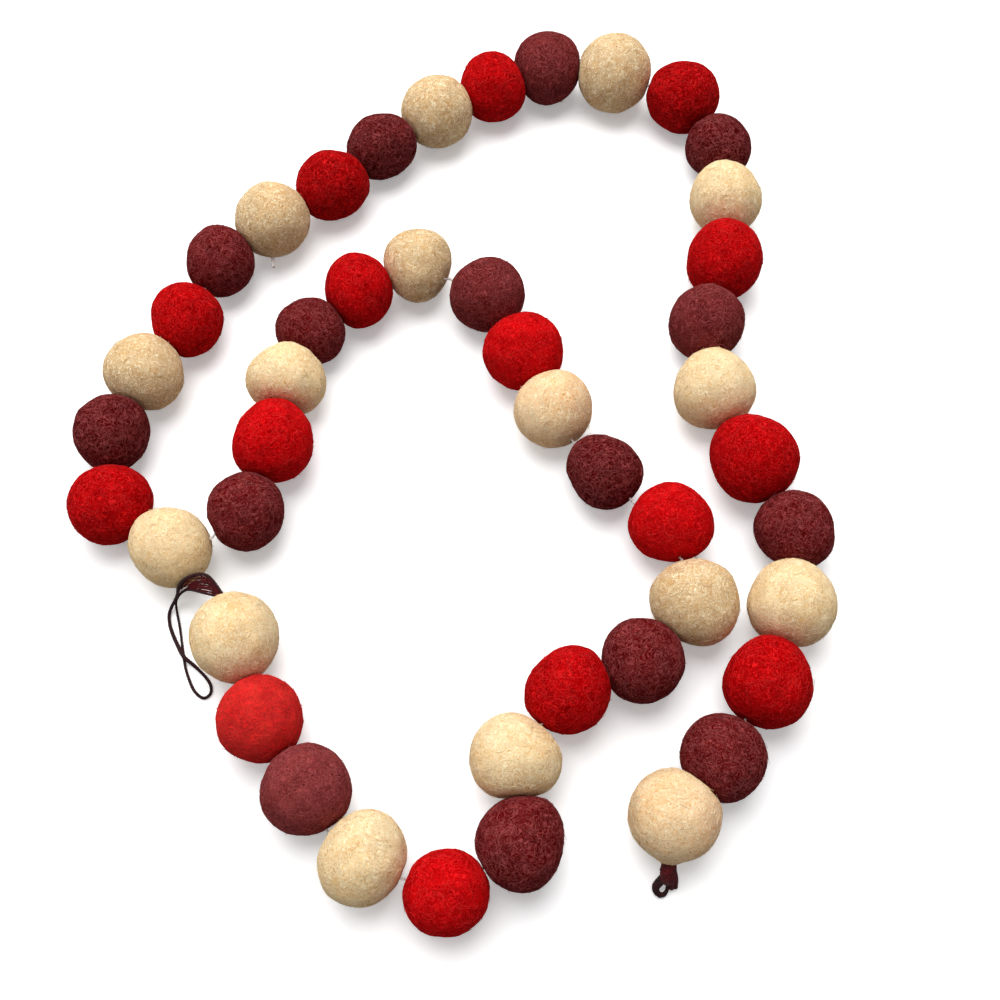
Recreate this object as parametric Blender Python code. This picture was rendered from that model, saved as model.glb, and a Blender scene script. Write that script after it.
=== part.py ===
"""Felt ball garland, lying in loose curves on a table.

Forty-six wet-felted wool balls are strung close together on a white thread. The colours repeat
cream, maroon, red. A hanging loop of maroon floss leaves the head end, and a small maroon knot
with a little loop and two cut ends stops the tail end. The balls are soft: each is a little oval,
is pressed flat where it meets its neighbours on the thread, and rests on a small flat spot.

The surface of the table is z = 0, and the origin is in the middle of the garland's outline.
"""

import math
from collections import namedtuple

import bmesh
import bpy
from mathutils import Vector

# Driving dimensions, in metres unless a name says otherwise.
MM = 0.001
GAP = 0.3 * MM               # between pieces that touch on the real garland

# Balls. Squash is the height of a ball over its width, after a spell on the table.
BALL_SQUASH = 0.97
BALL_SINK = 0.25 * MM        # how far the round form would reach below the table
BALL_AROUND = 14
BALL_RINGS = 8
FOOT_HALF_WIDTH = 3.2 * MM   # the flat spot that a ball rests on
CONTACT_SOFTNESS = 0.4 * MM  # how gently a pressed contact turns into the round form

# Thread and floss.
STRING_WIDTH = 0.8 * MM
FLOSS_WIDTH = 0.7 * MM
STRING_STOPS = 5.2 * MM      # the string's ends lie this deep in the end balls, tied to the floss
MOUTH_WIDTH = 3.4 * MM       # the stretched hole that the doubled floss comes out of
MOUTH_DEPTH = 5.8 * MM
THREAD_SIDES = 8
ROUTE_STEP = 2.0 * MM        # spacing of the points along a free thread

# One row for each ball, in the order of the stringing, from the tail to the head. The place of
# its middle on the table and its mean width are in millimetres. A ball's outline from above is
# longer by oval percent along oval_to, and has three blunt corners that stand out by lump
# percent, one of them towards lump_to. Both directions are in degrees from +X.
Ball = namedtuple("Ball", "x y width oval oval_to lump lump_to")
BALLS = [
    Ball(62.5, -120.5, 25.0, 2, 15, 0, 0),
    Ball(76.5, -105.5, 24.0, 2, 65, 1, 0),
    Ball(90.5, -85.0, 25.5, 4, 70, 4, -45),
    Ball(99.5, -62.0, 25.5, 1, 85, 3, -35),
    Ball(103.0, -39.0, 23.5, 4, -50, 4, 60),
    Ball(92.5, -16.5, 27.0, 3, -50, 4, 10),
    Ball(82.5, 7.5, 25.5, 1, 70, 4, -25),
    Ball(82.0, 32.0, 24.5, 2, 55, 1, -25),
    Ball(89.5, 55.5, 26.0, 6, 75, 2, -15),
    Ball(92.0, 81.0, 24.5, 4, -70, 3, -30),
    Ball(91.5, 103.5, 22.5, 3, -30, 2, -50),
    Ball(80.5, 124.5, 25.0, 4, -10, 3, 35),
    Ball(56.5, 134.5, 27.0, 2, 70, 1, 15),
    Ball(33.0, 138.0, 25.0, 2, 80, 3, 30),
    Ball(13.5, 129.5, 24.0, 2, -55, 4, -20),
    Ball(-6.0, 118.0, 25.0, 3, 20, 0, 0),
    Ball(-25.0, 103.5, 23.0, 10, 25, 2, 10),
    Ball(-41.0, 86.5, 24.0, 6, 25, 3, 0),
    Ball(-60.0, 72.0, 25.0, 2, 45, 2, -5),
    Ball(-76.0, 56.0, 23.0, 6, 85, 2, -15),
    Ball(-84.5, 33.5, 23.5, 5, -80, 3, 20),
    Ball(-95.5, 14.0, 24.5, 2, -35, 3, -50),
    Ball(-103.0, -7.0, 23.5, 4, 80, 2, 40),
    Ball(-100.0, -31.0, 24.5, 3, 30, 2, 25),
    Ball(-80.5, -44.5, 24.0, 5, -40, 2, 35),
    Ball(-59.5, -33.0, 23.5, 3, 85, 2, 40),
    Ball(-53.0, -10.5, 25.5, 6, 75, 4, -30),
    Ball(-50.5, 11.5, 24.0, 5, -5, 6, -45),
    Ball(-44.5, 29.5, 22.0, 2, -15, 2, -60),
    Ball(-30.0, 44.5, 23.5, 8, -80, 2, 5),
    Ball(-11.0, 54.5, 23.5, 5, 80, 6, 35),
    Ball(12.0, 42.5, 24.5, 2, 35, 2, -50),
    Ball(23.5, 21.0, 25.5, 2, 5, 2, -55),
    Ball(32.5, 1.0, 24.5, 2, 40, 2, -50),
    Ball(47.5, -20.0, 23.0, 7, -45, 5, 15),
    Ball(66.5, -37.0, 24.5, 4, -10, 4, -30),
    Ball(72.0, -61.5, 25.5, 3, -30, 4, 50),
    Ball(56.0, -78.5, 24.0, 1, 85, 2, 0),
    Ball(35.0, -87.0, 24.5, 6, 50, 4, -50),
    Ball(20.0, -105.5, 24.5, 5, -15, 5, -15),
    Ball(21.5, -127.5, 24.5, 5, 70, 4, 50),
    Ball(2.0, -140.0, 22.5, 3, 10, 0, 0),
    Ball(-20.0, -131.5, 24.0, 6, 60, 1, -30),
    Ball(-36.0, -114.0, 24.5, 1, -5, 3, -25),
    Ball(-50.0, -95.0, 24.0, 2, -65, 2, -40),
    Ball(-59.0, -72.0, 25.5, 3, -70, 1, 45),
]
COLOUR_ORDER = ("cream", "maroon", "red")

# Where the thread comes out of the tail ball, and where the floss comes out of the head ball,
# as a compass direction and a slope in degrees.
TAIL_HOLE = (-100, -16)
HEAD_HOLE = (112, 0)

# The thread doesn't pass straight from ball to ball at these meetings, but bows out to the side
# where it shows. The key is the number of the ball before the meeting, the shift is in mm.
THREAD_SHOWS = {
    25: (1.0, -3.6, 0.8),
    34: (-0.8, -2.6, 0.5),
    35: (-1.2, -1.6, 0.0),
    42: (-0.4, -1.0, 0.0),
    43: (-1.6, -2.2, 0.0),
}

# The hanging loop's route, in mm on the table: out of the head ball, up and over beside its
# neighbour, down to the table, round the end of the loop and back beside itself.
HEAD_LOOP = [
    (-62.2, -62.5, 12.1), (-63.0, -60.3, 12.4), (-65.2, -57.2, 13.8), (-67.7, -54.7, 15.0),
    (-70.3, -54.2, 15.3), (-72.9, -54.9, 15.0), (-74.9, -56.0, 14.3), (-76.8, -57.1, 11.6),
    (-77.9, -57.8, 8.0), (-79.7, -58.9, 4.2), (-81.1, -60.0, 1.9), (-81.9, -61.8, 0.5),
    (-81.6, -64.0, 0.4), (-80.9, -66.2, 0.4), (-79.6, -68.9, 0.4), (-77.9, -71.8, 0.7),
    (-75.7, -75.0, 1.6), (-73.1, -77.0, 1.1), (-70.8, -79.0, 0.5), (-68.8, -81.0, 0.4),
    (-67.4, -83.2, 0.4), (-67.3, -85.4, 0.4), (-68.8, -86.7, 0.4), (-70.6, -86.0, 0.4),
    (-72.4, -84.1, 0.4), (-74.0, -81.1, 0.4), (-75.3, -77.9, 0.4), (-76.1, -74.9, 0.4),
    (-77.2, -70.4, 0.4), (-78.4, -65.4, 0.4), (-79.7, -61.0, 0.5), (-79.8, -58.6, 2.2),
    (-78.7, -57.7, 4.6), (-77.1, -57.3, 7.2), (-75.0, -57.4, 10.1), (-72.8, -57.9, 12.0),
    (-69.4, -59.0, 12.8), (-66.2, -59.7, 12.4), (-64.6, -60.3, 12.2), (-63.3, -63.0, 12.1),
]

# The tail's knot, its little loop and its cut ends: the middle and the half width of the
# bunched floss along each, in mm.
TAIL_KNOT = [
    (61.2, -128.0, 9.9, 0.8), (60.9, -129.9, 9.4, 0.9), (60.7, -131.8, 8.8, 1.1),
    (60.6, -133.2, 8.1, 1.5), (60.5, -134.3, 7.2, 1.9), (60.4, -135.0, 6.4, 2.0),
    (60.4, -135.6, 5.6, 1.5),
]
TAIL_LOOP = [
    (59.4, -136.1, 4.9, 0.9), (58.4, -137.0, 3.3, 1.1), (57.7, -138.0, 2.0, 1.15),
    (57.9, -139.2, 1.2, 1.0), (58.9, -140.0, 0.9, 0.8), (60.0, -139.8, 0.7, 0.6),
    (60.6, -138.9, 1.0, 0.4), (60.6, -137.9, 2.1, 0.4), (60.6, -136.9, 3.8, 0.4),
]
TAIL_ENDS = {
    "tail_end_1": [(61.8, -136.0, 5.3, 0.5), (61.8, -137.1, 3.4, 0.5), (61.8, -138.2, 1.4, 0.5)],
    "tail_end_2": [(63.0, -135.6, 5.6, 0.45), (63.1, -136.9, 3.4, 0.45), (63.1, -138.1, 1.0, 0.45)],
}

# The thread end that stands out of the side of ball 19, in mm.
THREAD_END = [(-60.1, 62.9, 7.6), (-60.0, 61.4, 7.2), (-59.8, 59.4, 6.9), (-59.4, 56.6, 6.8)]
THREAD_END_WIDTH = 1.1 * MM
THREAD_END_BALL = 19

# Colours of the felts and threads, as linear red, green and blue.
FELT_COLOURS = {
    "cream": (0.72, 0.53, 0.30, 1.0),
    "maroon": (0.13, 0.018, 0.026, 1.0),
    "red": (0.58, 0.010, 0.014, 1.0),
}
STRING_COLOUR = (0.74, 0.70, 0.66, 1.0)
FLOSS_COLOUR = (0.085, 0.008, 0.014, 1.0)
FELT_ROUGHNESS = 0.95
THREAD_ROUGHNESS = 0.6


def start_clean():
    """Empty the scene and make the garland's collection, its cutters' and its parent empty."""
    for old in list(bpy.data.objects):
        bpy.data.objects.remove(old, do_unlink=True)
    collections = []
    for name in ("felt_ball_garland", "cutters"):
        collection = bpy.data.collections.new(name)
        bpy.context.scene.collection.children.link(collection)
        collections.append(collection)
    parent = bpy.data.objects.new("garland", None)
    collections[0].objects.link(parent)
    return collections[0], collections[1], parent


def make_material(name, colour, roughness):
    material = bpy.data.materials.new(name)
    material.use_nodes = True
    shader = material.node_tree.nodes["Principled BSDF"]
    shader.inputs["Base Color"].default_value = colour
    shader.inputs["Roughness"].default_value = roughness
    shader.inputs["Metallic"].default_value = 0.0
    return material


def in_metres(rows):
    return [Vector(row) * MM for row in rows]


def middle(number):
    """The middle of a ball's round form; balls are numbered from 1."""
    ball = BALLS[number - 1]
    height = ball.width / 2 * BALL_SQUASH * MM - BALL_SINK
    return Vector((ball.x * MM, ball.y * MM, height))


def half_width(number, side):
    """A ball's half width from above in the direction side, in radians."""
    ball = BALLS[number - 1]
    oval = ball.oval / 100 * math.cos(2 * (side - math.radians(ball.oval_to)))
    lump = ball.lump / 100 * math.cos(3 * (side - math.radians(ball.lump_to)))
    return ball.width / 2 * MM * (1 + oval + lump)


def meeting(number):
    """Where a ball meets the next one, and the direction from the one to the other."""
    here = middle(number)
    there = middle(number + 1)
    way = (there - here).normalized()
    side = math.atan2(way.y, way.x)
    near = half_width(number, side)
    far = half_width(number + 1, side + math.pi)
    return here.lerp(there, near / (near + far)), way


def hole(number, compass_and_slope):
    """The middle of the hole on the outside of an end ball, and the way out of it."""
    compass, slope = (math.radians(value) for value in compass_and_slope)
    way = Vector((math.cos(compass) * math.cos(slope),
                  math.sin(compass) * math.cos(slope), math.sin(slope)))
    return middle(number) + way * half_width(number, compass), way


def press(point, centre, face, way):
    """Flatten a point of a ball softly against the plane through face that way leaves by."""
    limit = (face - centre).dot(way) - GAP / 2
    reach = (point - centre).dot(way)
    held = limit - CONTACT_SOFTNESS * math.log1p(math.exp((limit - reach) / CONTACT_SOFTNESS))
    return point + way * (held - reach)


def make_ball(number, material, collection, parent):
    """One felt ball: round, a little oval, flat where it is pressed and where it rests."""
    form = bmesh.new()
    bmesh.ops.create_uvsphere(form, u_segments=BALL_AROUND, v_segments=BALL_RINGS, radius=1)
    centre = middle(number)
    half = BALLS[number - 1].width / 2 * MM
    presses = []
    if number > 1:
        face, way = meeting(number - 1)
        presses.append((face, -way))
    if number < len(BALLS):
        presses.append(meeting(number))
    lowest_ring = -math.cos(1.5 * math.pi / BALL_RINGS)
    foot = []
    for vert in form.verts:
        unit = vert.co.copy()
        side = math.atan2(unit.y, unit.x)
        reach = half_width(number, side)
        point = centre + Vector((unit.x * reach, unit.y * reach, unit.z * half * BALL_SQUASH))
        for face, way in presses:
            point = press(point, centre, face, way)
        if unit.z < lowest_ring:
            outward = Vector((unit.x, unit.y, 0))
            if outward.length > 0.01:
                point = centre + outward.normalized() * FOOT_HALF_WIDTH
            else:
                foot.append(vert)
            point.z = 0
        vert.co = point - centre
    bmesh.ops.dissolve_verts(form, verts=foot)
    mesh = bpy.data.meshes.new(f"ball_{number:02d}")
    form.to_mesh(mesh)
    form.free()
    mesh.shade_smooth()
    mesh.materials.append(material)
    ball = bpy.data.objects.new(f"ball_{number:02d}", mesh)
    ball.location = centre
    ball.parent = parent
    collection.objects.link(ball)
    return ball


def smooth_route(points, step):
    """Even points along a smooth curve through the given ones."""
    ends = [2 * points[0] - points[1]] + points + [2 * points[-1] - points[-2]]
    fine = []
    for first, here, there, last in zip(ends, ends[1:], ends[2:], ends[3:]):
        for index in range(12):
            part = index / 12
            fine.append(0.5 * (2 * here + (there - first) * part
                               + (2 * first - 5 * here + 4 * there - last) * part ** 2
                               + (3 * here - first - 3 * there + last) * part ** 3))
    fine.append(points[-1])
    lengths = [0.0]
    for here, there in zip(fine, fine[1:]):
        lengths.append(lengths[-1] + (there - here).length)
    count = max(2, round(lengths[-1] / step))
    route = []
    at = 0
    for index in range(count + 1):
        wanted = lengths[-1] * index / count
        while at < len(fine) - 2 and lengths[at + 1] < wanted:
            at += 1
        part = (wanted - lengths[at]) / (lengths[at + 1] - lengths[at])
        route.append(fine[at].lerp(fine[at + 1], part))
    return route


def make_tube(name, points, width, material, collection, parent=None):
    """A thread: a round tube along points, made a closed mesh.

    Points are places, or places with the tube's half width there as a fourth value.
    """
    curve = bpy.data.curves.new(name, "CURVE")
    curve.dimensions = "3D"
    curve.bevel_depth = width / 2
    curve.bevel_resolution = THREAD_SIDES // 2 - 2
    curve.use_fill_caps = True
    spline = curve.splines.new("POLY")
    spline.points.add(len(points) - 1)
    for index, point in enumerate(points):
        spline.points[index].co = (*point[:3], 1)
        spline.points[index].radius = point[3] / (width / 2) if len(point) == 4 else 1
    guide = bpy.data.objects.new(name + "_route", curve)
    collection.objects.link(guide)
    bpy.context.view_layer.update()
    evaluated = guide.evaluated_get(bpy.context.evaluated_depsgraph_get())
    mesh = bpy.data.meshes.new_from_object(evaluated)
    form = bmesh.new()
    form.from_mesh(mesh)
    bmesh.ops.remove_doubles(form, verts=form.verts, dist=0.00001)
    form.to_mesh(mesh)
    form.free()
    mesh.name = name
    mesh.shade_smooth()
    mesh.materials.clear()
    if material:
        mesh.materials.append(material)
    thread = bpy.data.objects.new(name, mesh)
    thread.matrix_world = guide.matrix_world
    thread.parent = parent
    collection.objects.link(thread)
    bpy.data.objects.remove(guide, do_unlink=True)
    return thread


def string_route():
    """The string runs straight through each ball, as the needle went, and turns between them."""
    tail, tail_way = hole(1, TAIL_HOLE)
    head, head_way = hole(len(BALLS), HEAD_HOLE)
    route = [tail - tail_way * STRING_STOPS]
    for number in range(1, len(BALLS)):
        shift = Vector(THREAD_SHOWS.get(number, (0, 0, 0))) * MM
        route.append(meeting(number)[0] + shift)
    route.append(head - head_way * STRING_STOPS)
    return route


def hide_cutter(cutter):
    cutter.hide_render = True
    cutter.display_type = "WIRE"


def cut(target, cutter):
    """Take the cutter's form out of the target."""
    bore = target.modifiers.new(cutter.name, "BOOLEAN")
    bore.operation = "DIFFERENCE"
    bore.solver = "EXACT"
    bore.object = cutter


def make_mouth(name, number, compass_and_slope, collection):
    """The cutter of the stretched hole where the floss leaves an end ball."""
    outside, way = hole(number, compass_and_slope)
    ends = [outside - way * MOUTH_DEPTH, outside + way * MOUTH_WIDTH]
    mouth = make_tube(name, ends, MOUTH_WIDTH, None, collection)
    hide_cutter(mouth)
    return mouth


def make_string(material, collection, cutters, parent):
    """The string, and the cutters of its bore and of the mouths at its two ends."""
    route = string_route()
    make_tube("string", route, STRING_WIDTH, material, collection, parent)
    facet = math.cos(math.pi / THREAD_SIDES)
    bore_width = (STRING_WIDTH + 2 * GAP) / facet
    bore = make_tube("string_bore", route, bore_width, None, cutters)
    hide_cutter(bore)
    last = len(BALLS)
    mouths = {1: make_mouth("tail_mouth", 1, TAIL_HOLE, cutters),
              last: make_mouth("head_mouth", last, HEAD_HOLE, cutters)}
    return bore, mouths


def make_tail(material, collection, parent):
    """The knot that stops the tail ball, its little loop and its cut ends."""
    make_tube("tail_knot", in_metres(TAIL_KNOT), FLOSS_WIDTH, material, collection, parent)
    loop = smooth_route(in_metres(TAIL_LOOP), ROUTE_STEP / 2)
    make_tube("tail_loop", loop, FLOSS_WIDTH, material, collection, parent)
    for name, rows in TAIL_ENDS.items():
        make_tube(name, in_metres(rows), FLOSS_WIDTH, material, collection, parent)


def make_garland():
    garland, cutters, parent = start_clean()
    felts = {name: make_material(f"felt_{name}", colour, FELT_ROUGHNESS)
             for name, colour in FELT_COLOURS.items()}
    white_thread = make_material("white_thread", STRING_COLOUR, THREAD_ROUGHNESS)
    maroon_floss = make_material("maroon_floss", FLOSS_COLOUR, THREAD_ROUGHNESS)

    bore, mouths = make_string(white_thread, garland, cutters, parent)
    end_route = in_metres(THREAD_END)
    make_tube("thread_end", end_route, THREAD_END_WIDTH, white_thread, garland, parent)
    end_bore = make_tube("thread_end_bore", [end_route[0] * 2 - end_route[1]] + end_route,
                         THREAD_END_WIDTH + 3 * GAP, None, cutters)
    hide_cutter(end_bore)

    for number in range(1, len(BALLS) + 1):
        colour = COLOUR_ORDER[(number - 1) % len(COLOUR_ORDER)]
        ball = make_ball(number, felts[colour], garland, parent)
        cut(ball, bore)
        if number in mouths:
            cut(ball, mouths[number])
        if number == THREAD_END_BALL:
            cut(ball, end_bore)

    head_loop = smooth_route(in_metres(HEAD_LOOP), ROUTE_STEP)
    make_tube("head_loop", head_loop, FLOSS_WIDTH, maroon_floss, garland, parent)
    make_tail(maroon_floss, garland, parent)


make_garland()
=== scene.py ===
import math

import bmesh
import bpy
import numpy as np
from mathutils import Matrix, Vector, noise
from mathutils.bvhtree import BVHTree


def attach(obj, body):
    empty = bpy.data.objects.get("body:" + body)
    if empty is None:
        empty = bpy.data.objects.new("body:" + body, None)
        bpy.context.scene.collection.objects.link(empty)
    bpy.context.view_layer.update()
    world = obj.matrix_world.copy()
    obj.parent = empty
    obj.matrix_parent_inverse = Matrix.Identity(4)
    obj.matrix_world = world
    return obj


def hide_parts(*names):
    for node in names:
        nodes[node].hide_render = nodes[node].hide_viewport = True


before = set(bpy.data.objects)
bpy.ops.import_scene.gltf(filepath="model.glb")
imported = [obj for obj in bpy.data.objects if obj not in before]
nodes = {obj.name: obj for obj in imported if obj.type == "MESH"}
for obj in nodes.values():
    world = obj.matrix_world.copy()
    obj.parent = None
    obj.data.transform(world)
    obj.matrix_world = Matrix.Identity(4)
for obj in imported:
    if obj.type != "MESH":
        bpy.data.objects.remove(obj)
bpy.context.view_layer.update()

scene = bpy.context.scene


# The camera. The garland lies on a table and is seen from above, leaning a little to its near
# side, from about a third of a metre.
VIEW_TARGET = Vector((0.016, -0.030, 0.0125))
VIEW_DISTANCE = 0.327
VIEW_LEAN = math.radians(23)

camera = bpy.data.objects.new("camera", bpy.data.cameras.new("camera"))
camera.data.sensor_width = 36
camera.data.lens = 39.6
view_way = Vector((0, -math.sin(VIEW_LEAN), math.cos(VIEW_LEAN)))
camera.location = VIEW_TARGET + VIEW_DISTANCE * view_way
camera.rotation_euler = (VIEW_LEAN, 0, 0)
camera.data.clip_start = 0.01
scene.collection.objects.link(camera)
scene.camera = camera
scene.view_settings.view_transform = "Standard"


# The hanging loop: a doubled length of maroon embroidery floss, tied inside the head ball. It
# comes out of the stretched hole, bends over the side of the next ball, crosses itself on the
# table and ends in a small eye. The floss is soft strands, lightly twisted.
HEAD_LOOP = [
    (-0.0622, -0.0625, 0.0121), (-0.0630, -0.0603, 0.0124), (-0.0652, -0.0572, 0.0138),
    (-0.0677, -0.0547, 0.0150), (-0.0703, -0.0542, 0.0153), (-0.0729, -0.0549, 0.0150),
    (-0.0749, -0.0560, 0.0143), (-0.0768, -0.0571, 0.0116), (-0.0779, -0.0578, 0.0080),
    (-0.0797, -0.0589, 0.0042), (-0.0811, -0.0600, 0.0019), (-0.0819, -0.0618, 0.0005),
    (-0.0816, -0.0640, 0.0004), (-0.0809, -0.0662, 0.0004), (-0.0796, -0.0689, 0.0004),
    (-0.0779, -0.0718, 0.0007), (-0.0757, -0.0750, 0.0016), (-0.0731, -0.0770, 0.0011),
    (-0.0708, -0.0790, 0.0005), (-0.0688, -0.0810, 0.0004), (-0.0674, -0.0832, 0.0004),
    (-0.0673, -0.0854, 0.0004), (-0.0688, -0.0867, 0.0004), (-0.0706, -0.0860, 0.0004),
    (-0.0724, -0.0841, 0.0004), (-0.0740, -0.0811, 0.0004), (-0.0753, -0.0779, 0.0004),
    (-0.0761, -0.0749, 0.0004), (-0.0772, -0.0704, 0.0004), (-0.0784, -0.0654, 0.0004),
    (-0.0797, -0.0610, 0.0005), (-0.0798, -0.0586, 0.0022), (-0.0787, -0.0577, 0.0046),
    (-0.0771, -0.0573, 0.0072), (-0.0750, -0.0574, 0.0101), (-0.0728, -0.0579, 0.0120),
    (-0.0694, -0.0590, 0.0128), (-0.0662, -0.0597, 0.0124), (-0.0646, -0.0603, 0.0122),
    (-0.0633, -0.0630, 0.0121),
]
# Half the width of the floss in millimetres, at shares of the way along the loop. The widest
# place, around 0.40 of the way beside the head ball, is partly floss and partly painted shade:
# the dark floss is made wider there to stand for the shade beside it.
LEG_AND_SHADE_HALF_WIDTHS = ((0, 0.10, 0.30, 0.40, 0.46, 0.58, 0.66, 0.80, 1),
                   (0.46, 0.50, 0.54, 0.66, 0.50, 0.46, 0.44, 0.38, 0.38))


def smooth_route(points, step=0.0006):
    """Even points along a smooth curve through the given ones."""
    parts_a_gap = 12
    points = [Vector(point) for point in points]
    ends = [2 * points[0] - points[1]] + points + [2 * points[-1] - points[-2]]
    fine = []
    for first, here, there, last in zip(ends, ends[1:], ends[2:], ends[3:]):
        for index in range(parts_a_gap):
            part = index / parts_a_gap
            fine.append(0.5 * (2 * here + (there - first) * part
                               + (2 * first - 5 * here + 4 * there - last) * part ** 2
                               + (3 * here - first - 3 * there + last) * part ** 3))
    fine.append(points[-1])
    along = np.cumsum([0] + [(there - here).length for here, there in zip(fine, fine[1:])])
    wanted = np.linspace(0, along[-1], max(3, round(along[-1] / step) + 1))
    rows = np.array(fine)
    return np.stack([np.interp(wanted, along, rows[:, axis]) for axis in range(3)], 1)


def node(tree, kind, values=None, **settings):
    """A node of a tree, with its settings and with values or links for its sockets."""
    made = tree.nodes.new(kind)
    for name, value in settings.items():
        setattr(made, name, value)
    for socket, value in (values or {}).items():
        if isinstance(value, bpy.types.NodeSocket):
            tree.links.new(value, made.inputs[socket])
        else:
            made.inputs[socket].default_value = value
    return made


def calc(tree, operation, *values, clamp=False):
    """The output of a Math node."""
    return node(tree, "ShaderNodeMath", dict(enumerate(values)),
                operation=operation, use_clamp=clamp).outputs[0]


def calc_vector(tree, operation, *values):
    """The output of a Vector Math node."""
    sockets = dict(enumerate(values))
    if operation == "SCALE":
        sockets = {0: values[0], 3: values[1]}
    return node(tree, "ShaderNodeVectorMath", sockets, operation=operation).outputs[0]


def new_tree(name, kind, inputs, outputs):
    """An empty node group with named sockets, its group input and its group output."""
    tree = bpy.data.node_groups.new(name, kind)
    for way, sockets in (("INPUT", inputs), ("OUTPUT", outputs)):
        for label, socket, *value in sockets:
            made = tree.interface.new_socket(label, in_out=way, socket_type="NodeSocket" + socket)
            if value:
                made.default_value = value[0]
    given = tree.nodes.new("NodeGroupInput").outputs
    return tree, given, tree.nodes.new("NodeGroupOutput").inputs


def grow(name, source, tree, values):
    """Run a Geometry Nodes tree on a source mesh and keep the result as a plain mesh piece."""
    piece = bpy.data.objects.new(name, source)
    scene.collection.objects.link(piece)
    modifier = piece.modifiers.new(tree.name, "NODES")
    modifier.node_group = tree
    for item in tree.interface.items_tree:
        if item.in_out == "INPUT" and item.name in values:
            modifier[item.identifier] = values[item.name]
    depsgraph = bpy.context.evaluated_depsgraph_get()
    mesh = bpy.data.meshes.new_from_object(piece.evaluated_get(depsgraph),
                                           preserve_all_data_layers=True, depsgraph=depsgraph)
    piece.modifiers.remove(modifier)
    piece.data = mesh
    mesh.name = name
    return piece


def route_mesh(name, routes):
    """The lines that twisted threads follow, each a list of points and of half widths there."""
    points, edges, half_widths = [], [], []
    for route, widths in routes:
        first = len(points)
        points += [tuple(point) for point in route]
        edges += [(index, index + 1) for index in range(first, len(points) - 1)]
        half_widths += list(np.broadcast_to(widths, len(route)))
    mesh = bpy.data.meshes.new(name + "_route")
    mesh.from_pydata(points, edges, [])
    mesh.attributes.new("half_width", "FLOAT", "POINT").data.foreach_set("value", half_widths)
    return mesh


TABLE_GAP = 0.00002


def kept_above_table(tree, mesh):
    """Lift whatever would sink into the table back onto it."""
    place = node(tree, "GeometryNodeInputPosition").outputs[0]
    height = node(tree, "ShaderNodeSeparateXYZ", {0: place}).outputs["Z"]
    missing = calc(tree, "MAXIMUM", 0.0, calc(tree, "SUBTRACT", TABLE_GAP, height))
    lifted = node(tree, "ShaderNodeCombineXYZ", {"Z": missing}).outputs[0]
    return node(tree, "GeometryNodeSetPosition", {0: mesh, "Offset": lifted}).outputs[0]


# Twisted floss: a number of strands laid round a route in a screw line, each a thin closed tube.
floss_tree, given, result = new_tree(
    "twisted_floss", "GeometryNodeTree",
    [("Route", "Geometry"), ("Step", "Float", 0.00025), ("Strands", "Int", 3),
     ("Turns a Metre", "Float", 300.0), ("Strand Share", "Float", 0.55),
     ("Wander", "Float", 0.00004), ("Sides", "Int", 5), ("Material", "Material")],
    [("Floss", "Geometry")])
line = node(floss_tree, "GeometryNodeMeshToCurve", {"Mesh": given["Route"]}).outputs[0]
line = node(floss_tree, "GeometryNodeResampleCurve", {"Curve": line, "Length": given["Step"]},
            mode="LENGTH").outputs[0]
strand = node(floss_tree, "GeometryNodeDuplicateElements",
              {"Geometry": line, "Amount": given["Strands"]}, domain="SPLINE")
half_width = node(floss_tree, "GeometryNodeInputNamedAttribute", {0: "half_width"},
                  data_type="FLOAT").outputs[0]
place_along = node(floss_tree, "GeometryNodeSplineParameter").outputs["Length"]
share = calc(floss_tree, "DIVIDE", strand.outputs["Duplicate Index"], given["Strands"])
turn = calc(floss_tree, "MULTIPLY", place_along, given["Turns a Metre"])
turn = calc(floss_tree, "MULTIPLY", calc(floss_tree, "ADD", share, turn), math.tau)
tangent = node(floss_tree, "GeometryNodeInputTangent").outputs[0]
side = node(floss_tree, "GeometryNodeInputNormal").outputs[0]
other = calc_vector(floss_tree, "CROSS_PRODUCT", tangent, side)
out = calc_vector(floss_tree, "ADD",
                  calc_vector(floss_tree, "SCALE", side, calc(floss_tree, "COSINE", turn)),
                  calc_vector(floss_tree, "SCALE", other, calc(floss_tree, "SINE", turn)))
strand_width = calc(floss_tree, "MULTIPLY", half_width, given["Strand Share"])
screw = calc_vector(floss_tree, "SCALE", out,
                    calc(floss_tree, "SUBTRACT", half_width, strand_width))
position = node(floss_tree, "GeometryNodeInputPosition").outputs[0]
strand_seed = calc(floss_tree, "MULTIPLY", strand.outputs["Duplicate Index"], 7.3)
wave = node(floss_tree, "ShaderNodeTexNoise",
            {"Vector": position, "W": strand_seed, "Scale": 900.0, "Detail": 2.0},
            noise_dimensions="4D").outputs["Color"]
wave = calc_vector(floss_tree, "SUBTRACT", wave, (0.5, 0.5, 0.5))
wave = calc_vector(floss_tree, "SCALE", wave, given["Wander"])
moved = node(floss_tree, "GeometryNodeSetPosition",
             {0: strand.outputs[0],
              "Offset": calc_vector(floss_tree, "ADD", screw, wave)}).outputs[0]
ring = node(floss_tree, "GeometryNodeCurvePrimitiveCircle",
            {"Resolution": given["Sides"], "Radius": 1.0}, mode="RADIUS").outputs[0]
tube = node(floss_tree, "GeometryNodeCurveToMesh",
            {"Curve": moved, "Profile Curve": ring, "Scale": strand_width,
             "Fill Caps": True}).outputs[0]
tube = kept_above_table(floss_tree, tube)
tube = node(floss_tree, "GeometryNodeSetShadeSmooth", {0: tube}).outputs[0]
tube = node(floss_tree, "GeometryNodeRealizeInstances", {0: tube}).outputs[0]
tube = node(floss_tree, "GeometryNodeSetMaterial",
            {0: tube, "Material": given["Material"]}).outputs[0]
floss_tree.links.new(tube, result[0])

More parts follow.
